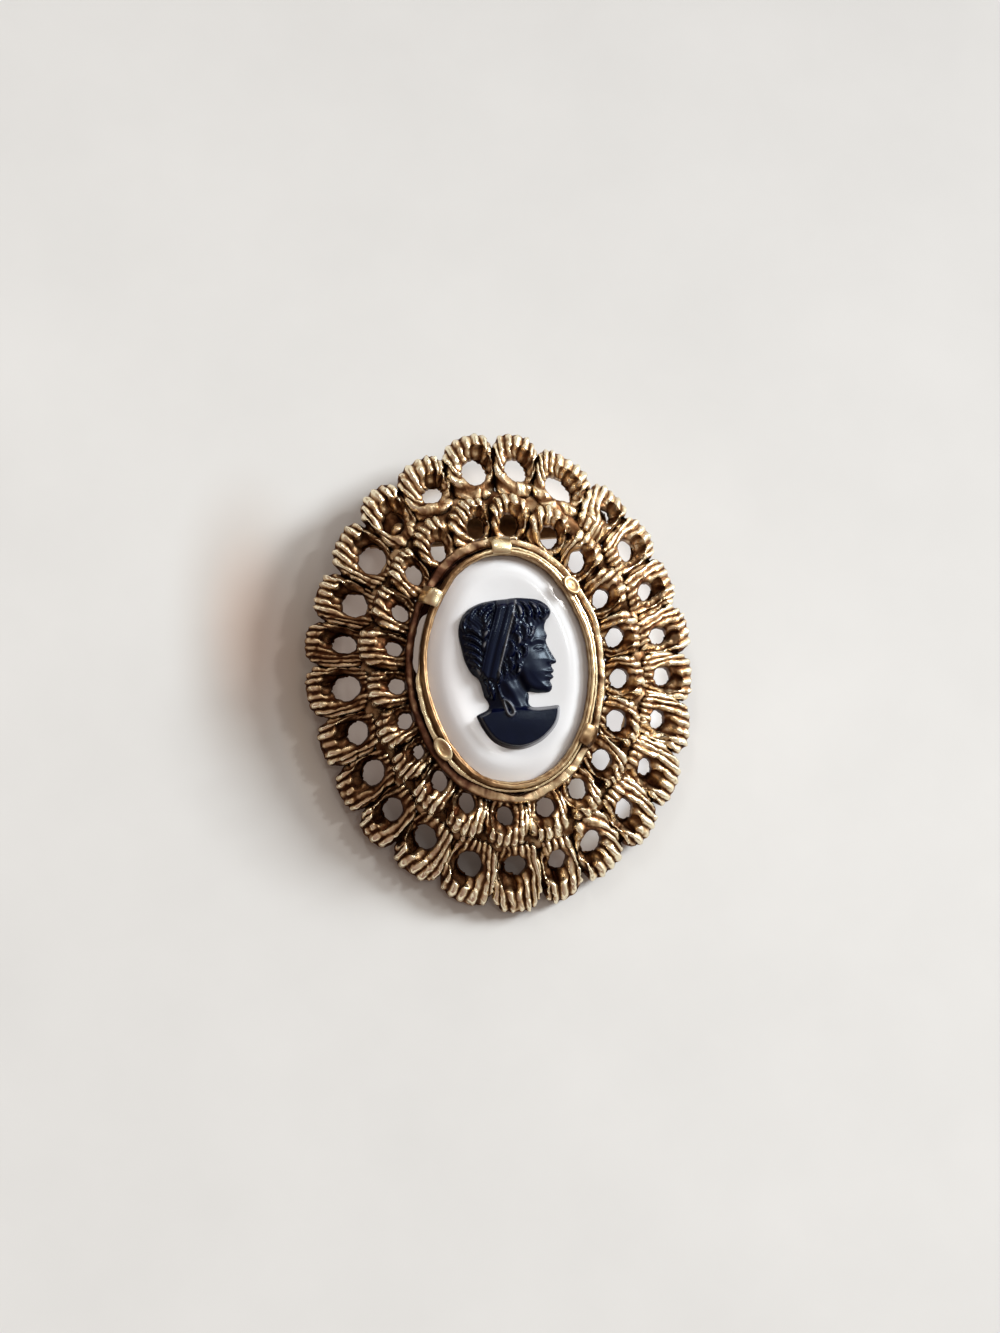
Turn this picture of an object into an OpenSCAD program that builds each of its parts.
// Oval cameo brooch: a pierced casting of two tiers of rope loops round a ring,
// a bezel cup held in the ring by prongs, a dished oval plaque, a relief head in
// profile, and a bar pin behind. It lies face up, as it rests by itself: on the
// pin's two feet near the top and on the rim's lowest loop.

/* [Outline] */
// Width across the tips of the outer loops
brooch_w = 30.8; // [30:0.2:35]
// Height across the tips of the outer loops
brooch_l = 37.4; // [37:0.2:42]

/* [Outer loops] */
// Number of loops round the rim
outer_count = 25; // [20:1:30]
// Width of the rope of an outer loop
outer_rope_w = 2; // [1.6:0.05:2.3]
// Depth of the rope of an outer loop, front to back
outer_rope_h = 2.1; // [1.8:0.05:2.4]
// How far the inner ends of the outer loops tuck in under the inner loops
outer_tuck = 0.96; // [0.7:0.02:1.3]
// How far the inner end of an outer loop stands above its tip
outer_rise = 1.7; // [1.2:0.05:2]
// How far the tips of the casting stray in and out
tip_wander = 0.2; // [0:0.02:0.3]

/* [Inner loops] */
// Number of loops round the ring
inner_count = 21; // [16:1:26]
// Width of the rope of an inner loop
inner_rope_w = 1.6; // [1.3:0.05:1.8]
// Depth of the rope of an inner loop, front to back
inner_rope_h = 2; // [1.7:0.05:2.3]
// How far the middle line of an inner loop reaches past the ring
inner_reach = 2.2; // [2:0.05:2.5]
// Height of the middle line of an inner loop above the rim's back
inner_z = 4.25; // [4:0.05:4.4]
// How unevenly the inner loops are spread, in shares of their pitch
inner_drift = 0.28; // [0:0.02:0.35]

/* [Ropes] */
// How deep the grooves between the ribs cut, as a share of the rope's thickness
groove_share = 0.16; // [0.08:0.01:0.22]

/* [Ring] */
// Width of the ring that the loops stand on
ring_w = 0.72; // [0.6:0.02:0.9]
// Height of the ring's back above the rim's back
ring_z = 2.9; // [2.7:0.05:3]
// Thickness of the ring, front to back
ring_h = 1.5; // [1.4:0.05:1.7]
// Open slit between the ring and the bezel cup
ring_gap = 0.4; // [0.3:0.02:0.5]

/* [Plaque] */
// Width of the oval plaque
plaque_w = 13; // [12.6:0.1:13.4]
// Height of the oval plaque
plaque_l = 18; // [17.5:0.1:18.6]
// Thickness of the plaque at its edge
plaque_h = 1.75; // [1.4:0.05:2.1]
// Depth of the dish in the plaque's front
dish_d = 0.45; // [0.2:0.05:0.7]
// Width of the plaque's sloping border
border_w = 2; // [1.6:0.1:2.1]

/* [Bezel cup] */
// Wall of the bezel cup
cup_wall = 0.2; // [0.15:0.01:0.3]
// Floor of the bezel cup, under the plaque
cup_floor = 0.45; // [0.3:0.05:0.6]
// How far the rolled lip covers the plaque's edge
lip_w = 0.3; // [0.2:0.02:0.4]
// Thickness of the rolled lip
lip_h = 0.28; // [0.2:0.02:0.4]
// Depth of the flat pad on the back of the cup
pad_h = 0.6; // [0.4:0.05:0.8]
// How far the pad stands in from the cup's wall
pad_inset = 0.7; // [0.5:0.05:1]
// Slit left between pieces that seat on each other
seat_gap = 0.04; // [0.02:0.01:0.08]

/* [Prongs] */
// Width of a prong along the ring
prong_w = 1.5; // [1.2:0.05:1.8]
// Thickness of a prong where it folds over the lip
prong_h = 0.4; // [0.3:0.02:0.5]
// Thickness of the seat under the cup at each prong
prong_seat_h = 0.35; // [0.3:0.02:0.4]

/* [Head] */
// Height of the relief from the crown to the foot of the bust
head_l = 11.5; // [9:0.1:11.8]
// Thickness of the relief at its outline
head_base_h = 0.45; // [0.3:0.05:0.6]
// How far the relief's roundest part stands above its outline
head_relief = 1.15; // [0.8:0.05:1.4]

/* [Pin] */
// Height of the pin above the middle of the brooch
pin_y = 11.4; // [10.6:0.1:11.7]
// Distance between the middles of the pin's two feet
pin_span = 16.6; // [14:0.2:17]
// Width of the base bar
bar_w = 2.2; // [1.8:0.1:2.6]
// Thickness of the base bar
bar_h = 0.5; // [0.4:0.05:0.7]
// Diameter of the pin's stem
stem_d = 0.9; // [0.7:0.05:1.1]
// Radius of the rounded feet that hold the stem
foot_r = 0.75; // [0.6:0.05:0.85]
// Length of each foot along the stem
foot_l = 2.2; // [1.6:0.1:2.6]
// How far the feet reach below the rim's back
standoff = 2.2; // [1.8:0.1:2.8]

/* [Hidden] */

// Colours as they show
GOLD = [0.72, 0.56, 0.30];
PALE_GOLD = [0.80, 0.66, 0.38];
WHITE = [0.95, 0.95, 0.94];
BLACK = [0.05, 0.05, 0.06];
DULL_GOLD = [0.60, 0.46, 0.26];

// Plaque, cup and ring are one family of ovals, each a fixed step outside the last
plaque_a = plaque_w / 2;
plaque_b = plaque_l / 2;
cup_in = seat_gap;
cup_out = cup_in + cup_wall;
ring_in = cup_out + ring_gap;
ring_out = ring_in + ring_w;
ring_a = plaque_a + ring_out;
ring_b = plaque_b + ring_out;

// Heights above the rim's back
cup_z = ring_z + prong_seat_h + seat_gap;
pad_z = cup_z - pad_h;
plaque_z = cup_z + cup_floor + seat_gap;
plaque_top = plaque_z + plaque_h;
lip_z = plaque_top + seat_gap;
cup_top = lip_z + lip_h;
dish_z = plaque_top - dish_d;
head_z = dish_z + seat_gap;

// Outer ends of the loops' middle lines, and the mean way out to them
rim_a = brooch_w / 2 - outer_rope_w / 2;
rim_b = brooch_l / 2 - outer_rope_w / 2;
span = ((rim_a - ring_a) + (rim_b - ring_b)) / 2;

// Length of an outer loop's middle line, from its tip to its inner end
inner_edge = inner_reach + inner_rope_w / 2;
outer_loop_l = span - (inner_edge - outer_tuck + outer_rope_w / 2);

// The lean of the first loop of each tier from the top, in shares of its pitch
OUTER_LEAN = -0.284;
INNER_LEAN = -0.406;

// How many times the tips stray out and in, and the loop where the drift starts
WANDER_WAVES = 3;
DRIFT_START = 1.5;

// Half width of a loop's middle line, in shares of its pitch
OUTER_SPREAD = 0.48;
INNER_SPREAD = 0.53;

// Where an inner loop's arch starts, as a share of its reach, and its legs' turn
ARCH_FOOT = 0.36;
LEG_TURN = 45;

// Steps round a loop's ribbed tip and its inner end, and corners of a rope
OUTER_RIB_STEPS = 12;
OUTER_END_STEPS = 4;
INNER_RIB_STEPS = 8;
ROPE_SIDES = 6;
ROPE_FLAT = cos(180 / ROPE_SIDES);

// Corners are rounded to one part in this of a millimetre
GRAIN = 10000;

// Radius of an oval's end arcs, as a share of the plaque's half width
END_SHARE = 0.8;

// Segments of a whole turn of an oval's arcs, and steps round the ring
OVAL_FN = 72;
RING_STEPS = 64;

// Share of a thickness by which an edge is eased
EASE_SHARE = 0.25;

// How far what joins the ring starts inside its faces
ring_sink = 0.06;

// Steps of the slope from the plaque's border to its dish
DISH_STEPS = 4;

// Where the prongs stand, in degrees from the top
PRONG_TURNS = [0, 50, 125, 232, 309];

// How far up the rise of the outer loops the base bar is seated, as a share of it
BAR_SEAT = 0.25;

// Segments of the pin's round parts
ROUND_FN = 48;

// Length of the stem's point past its foot
stem_tip = 0.9;

// Segments of the relief's rounded masses and of its strands
MASS_FN = 24;
STRAND_FN = 6;

// Outline of head, neck and bust, clockwise from the crown, in shares of its height,
// from the middle of the plaque
HEAD_OUTLINE = [
    [0.01, 0.46], [0.1, 0.465], [0.2, 0.45], [0.275, 0.415], [0.312, 0.365], [0.305, 0.32],
    [0.275, 0.295], [0.262, 0.25], [0.278, 0.195], [0.262, 0.15], [0.29, 0.1], [0.338, 0.03],
    [0.33, 0.01], [0.292, 0], [0.308, -0.035], [0.295, -0.058], [0.3, -0.083], [0.275, -0.105],
    [0.285, -0.15], [0.255, -0.185], [0.19, -0.18], [0.125, -0.19], [0.115, -0.235], [0.15, -0.27],
    [0.32, -0.275], [0.305, -0.36], [0.245, -0.445], [0.145, -0.515], [0.03, -0.54],
    [-0.09, -0.51], [-0.185, -0.425], [-0.23, -0.305], [-0.165, -0.27], [-0.15, -0.225],
    [-0.17, -0.15], [-0.2, -0.06], [-0.265, 0.02], [-0.3, 0.13], [-0.315, 0.27], [-0.28, 0.37],
    [-0.195, 0.44], [-0.1, 0.462]
];

// Rounded masses: middle, half width and height, and rise
HEAD_MASSES = [
    [[0.04, 0.16], [0.3, 0.38], 0.75],
    [[-0.09, 0.24], [0.26, 0.27], 1],
    [[0, -0.2], [0.17, 0.22], 0.55],
    [[0.04, -0.4], [0.3, 0.19], 0.6]
];

// Strands of hair and bands: points, thickness and rise
HEAD_STRANDS = [
    [[[0.055, 0.44], [-0.03, 0.3], [-0.1, 0.12], [-0.15, -0.04]], 0.028, 1.02],
    [[[0.1, 0.44], [0.03, 0.3], [-0.05, 0.12], [-0.11, -0.03]], 0.022, 1],
    [[[-0.07, 0.43], [-0.17, 0.38], [-0.24, 0.28]], 0.05, 0.8],
    [[[-0.24, 0.2], [-0.24, 0.12], [-0.2, 0.04]], 0.05, 0.8],
    [[[0.16, 0.42], [0.24, 0.39], [0.275, 0.34]], 0.05, 0.55],
    [[[0.1, 0.34], [0.17, 0.3], [0.2, 0.22]], 0.045, 0.85],
    [[[0.04, 0.2], [0.09, 0.13], [0.06, 0.06]], 0.045, 0.95],
    [[[-0.07, -0.1], [-0.1, -0.18], [-0.07, -0.27], [-0.03, -0.22], [-0.07, -0.1]], 0.025, 0.6]
];

// The four arcs of the ovals: two end arcs and two side arcs that run on smoothly
end_r = plaque_a * END_SHARE;
end_c = plaque_b - end_r;
side_c = (end_c * end_c - (plaque_a - end_r) * (plaque_a - end_r)) / (2 * (plaque_a - end_r));
side_r = plaque_a + side_c;
joint_turn = atan2(end_c, side_c);

// Pitch of the loops of each tier, half way along them
outer_mid = span - outer_loop_l / 2;
outer_pitch = oval_length(outer_mid) / outer_count;
inner_pitch = oval_length(inner_reach / 2) / inner_count;

// Feet of the pin, below the rim's back
foot_z = foot_r - standoff;
bar_z = outer_rise * BAR_SEAT - seat_gap - bar_h;

// The tilt and the shift with which it lies on the pin's feet and the lowest loop
low_y = min([for (i = [0:outer_count - 1]) outer_place([0, span, 0], i)[1]]);
rest_reach = pin_y - low_y;
rest_drop = standoff - foot_r;
rest_tilt = atan2(rest_drop, rest_reach) + asin(foot_r / norm([rest_reach, rest_drop]));
rest_lift = -low_y * sin(rest_tilt);
rest_shift = outer_rope_h / 2 * sin(rest_tilt);

// Length round the oval at a distance out from the ring
function oval_length(out) =
    let (
        a = ring_a + (rim_a - ring_a) * out / span,
        b = ring_b + (rim_b - ring_b) * out / span
    )
    2 * PI * sqrt((a * a + b * b) / 2);

// Angle on an oval, from its top, at a share of the way round it
function oval_angle(share, a, b) =
    let (turn = 360 * share)
    turn - 45 / PI * (a * a - b * b) / (a * a + b * b) * sin(2 * turn);

// Point at a share of the way round, a distance out from the ring, at a height
function spot(share, out, z) =
    let (
        v = out / span,
        a = ring_a + (rim_a - ring_a) * v,
        b = ring_b + (rim_b - ring_b) * v,
        t = oval_angle(share, a, b)
    )
    [a * sin(t), b * cos(t), z];

// Neighbouring loops share their walls' corners, so these are rounded alike
function rounded(p) = [for (c = p) round(c * GRAIN) / GRAIN];

// Where a point of the straightened outer loop i lies: p is along the rim, out, up
function outer_place(p, i) =
    let (
        share = (i + p[0] / outer_pitch + OUTER_LEAN) / outer_count,
        stray = tip_wander * cos(360 * WANDER_WAVES * share)
    )
    rounded(spot(share, p[1] * (1 + stray / span), p[2]));

// The same for inner loop i
function inner_place(p, i) =
    let (
        x = i + p[0] / inner_pitch,
        drift = inner_drift * cos(360 * (x - DRIFT_START) / inner_count)
    )
    rounded(spot((x + INNER_LEAN - drift) / inner_count, p[1], p[2]));

// Middle line of a straightened outer loop, at an angle round it from its tip
function outer_line(turn) = [
    outer_pitch * OUTER_SPREAD * sin(turn),
    outer_mid + outer_loop_l / 2 * cos(turn),
    outer_rope_h / 2 + outer_rise * (1 - cos(turn)) / 2
];

// Middle line of a straightened inner loop: an arch, and legs down inside the ring
function inner_line(turn) =
    let (
        leg = max(abs(turn) - 90, 0) / LEG_TURN,
        foot = inner_reach * ARCH_FOOT
    )
    [
        inner_pitch * INNER_SPREAD * sin(max(min(turn, 90), -90)),
        foot + (inner_reach - foot) * cos(min(abs(turn), 90)) - leg * (foot + ring_w / 2),
        inner_z - leg * (inner_z - inner_rope_h / 2 - ring_z)
    ];

function unit(v) = v / norm(v);

// A rope's corners round point p, square to the way that it runs, pressed flat
// where it meets its neighbours half a pitch away. A lone corner stays shy of them
function rope_ring(p, way, w, h, half_pitch) =
    let (
        side = unit(cross(way, [0, 0, 1])),
        lift = cross(side, unit(way)),
        corners = [for (k = [0:ROPE_SIDES - 1])
            let (turn = 90 + 360 * k / ROPE_SIDES)
            p + side * (w / 2 * cos(turn) / ROPE_FLAT) + lift * (h / 2 * sin(turn))],
        past = len([for (c = corners) if (abs(c[0]) >= half_pitch) c]),
        reach = half_pitch - (past == 1 ? ring_sink : 0)
    )
    [for (c = corners) [max(min(c[0], reach), -reach), c[1], c[2]]];

// Share of its full thickness that a rope has at ring n: ribs and grooves in turn
function ribbed(n) = n % 2 == 0 ? 1 : 1 - groove_share;

// The straightened outer loop: ribs round its tip, and a smooth inner end
outer_turns = concat(
    [for (n = [0:OUTER_RIB_STEPS]) 180 * n / OUTER_RIB_STEPS - 90],
    [for (n = [1:OUTER_END_STEPS - 1]) 90 + 180 * n / OUTER_END_STEPS]);
outer_rings = [for (n = [0:len(outer_turns) - 1])
    let (
        turn = outer_turns[n],
        size = n > OUTER_RIB_STEPS ? 1 : ribbed(n + OUTER_RIB_STEPS / 2)
    )
    rope_ring(
        outer_line(turn),
        outer_line(turn + 1) - outer_line(turn - 1),
        outer_rope_w * size,
        outer_rope_h * size,
        outer_pitch / 2)];

// The straightened inner loop, from one leg's foot to the other's
inner_turns = concat(
    [-90 - LEG_TURN],
    [for (n = [0:INNER_RIB_STEPS]) 180 * n / INNER_RIB_STEPS - 90],
    [90 + LEG_TURN]);
inner_rings = [for (n = [0:len(inner_turns) - 1])
    let (
        turn = inner_turns[n],
        size = ribbed(n + 1 + INNER_RIB_STEPS / 2)
    )
    rope_ring(
        inner_line(turn),
        inner_line(turn + 1) - inner_line(turn - 1),
        inner_rope_w * size,
        inner_rope_h * size,
        inner_pitch / 2)];

// Two triangles of the skin between rings i and j of corners, at corner k of sides.
// The split leans the other way on a loop's far half, so that neighbours' walls agree
function skin(i, j, k, sides, near) =
    let (
        a = i * sides + k,
        b = i * sides + (k + 1) % sides,
        c = j * sides + k,
        d = j * sides + (k + 1) % sides
    )
    near ? [[a, b, c], [b, d, c]] : [[a, b, d], [a, d, c]];

// The faces of one loop's skin. Those that lie wholly in a wall that the loop
// shares with its neighbour are left out, so that the two are one piece of metal
function loop_faces(rings, half_pitch, closed, low, high) =
    let (
        count = len(rings),
        pressed = [for (ring = rings) for (p = ring) abs(p[0]) >= half_pitch],
        skins = [for (n = [0:count - (closed ? 1 : 2)], k = [0:ROPE_SIDES - 1])
            each skin(n, (n + 1) % count, k, ROPE_SIDES, n < low || n >= high)]
    )
    concat(
        closed ? [] : [[for (k = [ROPE_SIDES - 1:-1:0]) k]],
        closed ? [] : [[for (k = [0:ROPE_SIDES - 1]) (count - 1) * ROPE_SIDES + k]],
        [for (f = skins) if (!(pressed[f[0]] && pressed[f[1]] && pressed[f[2]])) f]);

// The same faces again for every loop of a tier
function tier_faces(faces, points_each, count) =
    [for (i = [0:count - 1]) for (f = faces) [for (c = f) c + i * points_each]];

module outer_loops() {
    high = len(outer_rings) - OUTER_END_STEPS / 2;
    faces = loop_faces(outer_rings, outer_pitch / 2, true, OUTER_RIB_STEPS / 2, high);
    polyhedron(
        [for (i = [0:outer_count - 1]) for (ring = outer_rings) for (p = ring) outer_place(p, i)],
        tier_faces(faces, len(outer_rings) * ROPE_SIDES, outer_count));
}

module inner_loops() {
    count = len(inner_rings);
    faces = loop_faces(inner_rings, inner_pitch / 2, false, (count - 1) / 2, count);
    polyhedron(
        [for (i = [0:inner_count - 1]) for (ring = inner_rings) for (p = ring) inner_place(p, i)],
        tier_faces(faces, count * ROPE_SIDES, inner_count));
}

// A profile carried round the oval. Its first number is the step out from the
// plaque's edge and its second is the height
module oval_sweep(end_profile, side_profile) {
    for (up = [0, 1])
        mirror([0, up, 0])
            translate([0, end_c, 0])
                rotate_extrude(angle = 180 - 2 * joint_turn, start = joint_turn, $fn = OVAL_FN)
                    polygon([for (p = end_profile) [end_r + p[0], p[1]]]);
    for (left = [0, 1])
        mirror([left, 0, 0])
            translate([-side_c, 0, 0])
                rotate_extrude(angle = 2 * joint_turn, start = -joint_turn, $fn = OVAL_FN)
                    polygon([for (p = side_profile) [side_r + p[0], p[1]]]);
}

// A point a step out from the plaque's edge, where the oval faces a turn from +X
function oval_spot(turn, out, z) =
    let (
        on_side = abs(sin(turn)) < sin(joint_turn),
        facing = [cos(turn), sin(turn)],
        middle = on_side ? [-side_c * sign(facing[0]), 0] : [0, end_c * sign(facing[1])],
        p = middle + facing * (out + (on_side ? side_r : end_r))
    )
    [p[0], p[1], z];

// The ring, with its upper edges eased
module ring() {
    ease = ring_w * EASE_SHARE;
    top = ring_z + ring_h;
    profile = [
        [ring_in, ring_z],
        [ring_out, ring_z],
        [ring_out, top - ease],
        [ring_out - ease, top],
        [ring_in + ease, top],
        [ring_in, top - ease]
    ];
    sides = len(profile);
    polyhedron(
        [for (n = [0:RING_STEPS - 1]) for (p = profile)
            oval_spot(360 * (n + 0.5) / RING_STEPS, p[0], p[1])],
        [for (n = [0:RING_STEPS - 1], k = [0:sides - 1])
            each skin(n, (n + 1) % RING_STEPS, k, sides, true)]);
}

// Carries its children to a prong's place, with +Y pointing out from the plaque
module at_prong(turn) {
    place = [plaque_a * sin(turn), plaque_b * cos(turn), 0];
    out = unit([sin(turn) / plaque_a, cos(turn) / plaque_b]);
    translate(place) rotate([0, 0, atan2(-out[0], out[1])]) children();
}

// A block with eased upper corners, between steps out and heights
module eased_block(w, low_out, high_out, low_z, high_z) {
    ease = min(w, high_out - low_out, high_z - low_z) * EASE_SHARE;
    hull() {
        translate([-w / 2, low_out, low_z])
            cube([w, high_out - low_out, high_z - low_z - ease]);
        translate([-w / 2 + ease, low_out + ease, low_z])
            cube([w - 2 * ease, high_out - low_out - 2 * ease, high_z - low_z]);
    }
}

// A prong: its post on the ring, its tab over the lip and its seat under the cup
module prong() {
    tab_z = cup_top + seat_gap;
    post_in = cup_out + seat_gap * 3;
    post_out = ring_out - ring_w * EASE_SHARE;
    seat_z = ring_z + ring_sink;
    eased_block(prong_w, -lip_w, post_out + ring_sink, tab_z, tab_z + prong_h);
    eased_block(prong_w - ring_sink, post_in, post_out, ring_z + ring_h / 2, tab_z + prong_h / 2);
    eased_block(prong_w, cup_out - pad_inset / 2, ring_in + ring_w / 2, seat_z, ring_z + prong_seat_h);
}

module frame() {
    color(GOLD) resting() {
        outer_loops();
        inner_loops();
        ring();
        for (turn = PRONG_TURNS) at_prong(turn) prong();
    }
}

// A floor-high profile of the cup, from a step in under the plaque to its wall
function cup_profile(inner) =
    let (ease = lip_h * EASE_SHARE)
    [
        [inner, cup_z],
        [cup_out, cup_z],
        [cup_out, cup_top - ease],
        [cup_out - ease, cup_top],
        [-lip_w + ease, cup_top],
        [-lip_w, cup_top - ease],
        [-lip_w, lip_z],
        [cup_in, lip_z],
        [cup_in, cup_z + cup_floor],
        [inner, cup_z + cup_floor]
    ];

function pad_profile(inner) = [
    [inner, pad_z],
    [cup_out - pad_inset, pad_z],
    [cup_out - pad_inset, cup_z + cup_floor / 2],
    [inner, cup_z + cup_floor / 2]
];

module setting() {
    color(PALE_GOLD) resting() {
        oval_sweep(cup_profile(-end_r), cup_profile(-plaque_a));
        oval_sweep(pad_profile(-end_r), pad_profile(-plaque_a));
    }
}

// The plaque's edge lies flat under the lip, and its front slopes in to the dish
function plaque_profile(inner) =
    let (start = lip_w * 1.5)
    concat(
        [[inner, plaque_z], [0, plaque_z], [0, plaque_top]],
        [for (n = [0:DISH_STEPS])
            let (s = n / DISH_STEPS)
            [-start - (border_w - start) * s, plaque_top - dish_d * (1 - cos(180 * s)) / 2]],
        [[inner, dish_z]]);

module plaque() {
    color(WHITE) resting() oval_sweep(plaque_profile(-end_r), plaque_profile(-plaque_a));
}

// The outline of head, neck and bust, from a list of points in shares of its height
module outline(points, inset) {
    offset(delta = -inset) scale(head_l) polygon(points);
}

// A rounded mass of the relief: its middle and its half width and height are in
// shares of the relief's height, and it rises to a share of the relief's depth
module mass(middle, size, rise) {
    translate([middle[0] * head_l, middle[1] * head_l, 0])
        scale([size[0] * head_l, size[1] * head_l, head_base_h + head_relief * rise])
            sphere(1, $fn = MASS_FN);
}

// A strand of hair or a band through points, as thick as a share of the height
module strand(points, thick, rise) {
    r = thick * head_l / 2;
    top = head_base_h + head_relief * rise - r;
    for (n = [0:len(points) - 2])
        hull()
            for (p = [points[n], points[n + 1]])
                translate([p[0] * head_l, p[1] * head_l, top]) sphere(r, $fn = STRAND_FN);
}

module cameo_head() {
    color(BLACK) resting() translate([0, 0, head_z]) {
        linear_extrude(head_base_h * (1 - EASE_SHARE)) outline(HEAD_OUTLINE, 0);
        linear_extrude(head_base_h) outline(HEAD_OUTLINE, head_base_h * EASE_SHARE);
        intersection() {
            linear_extrude(head_base_h + head_relief) outline(HEAD_OUTLINE, head_base_h * EASE_SHARE);
            for (m = HEAD_MASSES) mass(m[0], m[1], m[2]);
        }
        for (s = HEAD_STRANDS) strand(s[0], s[1], s[2]);
    }
}

// The base bar with its two feet, and the stem that runs between them
module pin_back() {
    color(DULL_GOLD) resting() {
        translate([0, pin_y, bar_z]) {
            translate([-pin_span / 2, -bar_w / 2, 0]) cube([pin_span, bar_w, bar_h]);
            for (side = [-1, 1])
                translate([side * pin_span / 2, 0, 0]) cylinder(h = bar_h, d = bar_w, $fn = ROUND_FN);
        }
        for (side = [-1, 1])
            translate([side * pin_span / 2 - foot_l / 2, pin_y, foot_z]) {
                rotate([0, 90, 0]) cylinder(h = foot_l, r = foot_r, $fn = ROUND_FN);
                translate([0, -foot_r, 0]) cube([foot_l, 2 * foot_r, bar_z + bar_h / 2 - foot_z]);
            }
        translate([-pin_span / 2, pin_y, foot_z])
            rotate([0, 90, 0]) cylinder(h = pin_span, d = stem_d, $fn = ROUND_FN);
        translate([-pin_span / 2 - foot_l / 2 - stem_tip, pin_y, foot_z])
            rotate([0, 90, 0]) cylinder(h = stem_tip + foot_l, d1 = stem_d / 3, d2 = stem_d, $fn = ROUND_FN);
    }
}

module resting() {
    translate([0, rest_shift, rest_lift]) rotate([rest_tilt, 0, 0]) children();
}

frame();
setting();
plaque();
cameo_head();
pin_back();
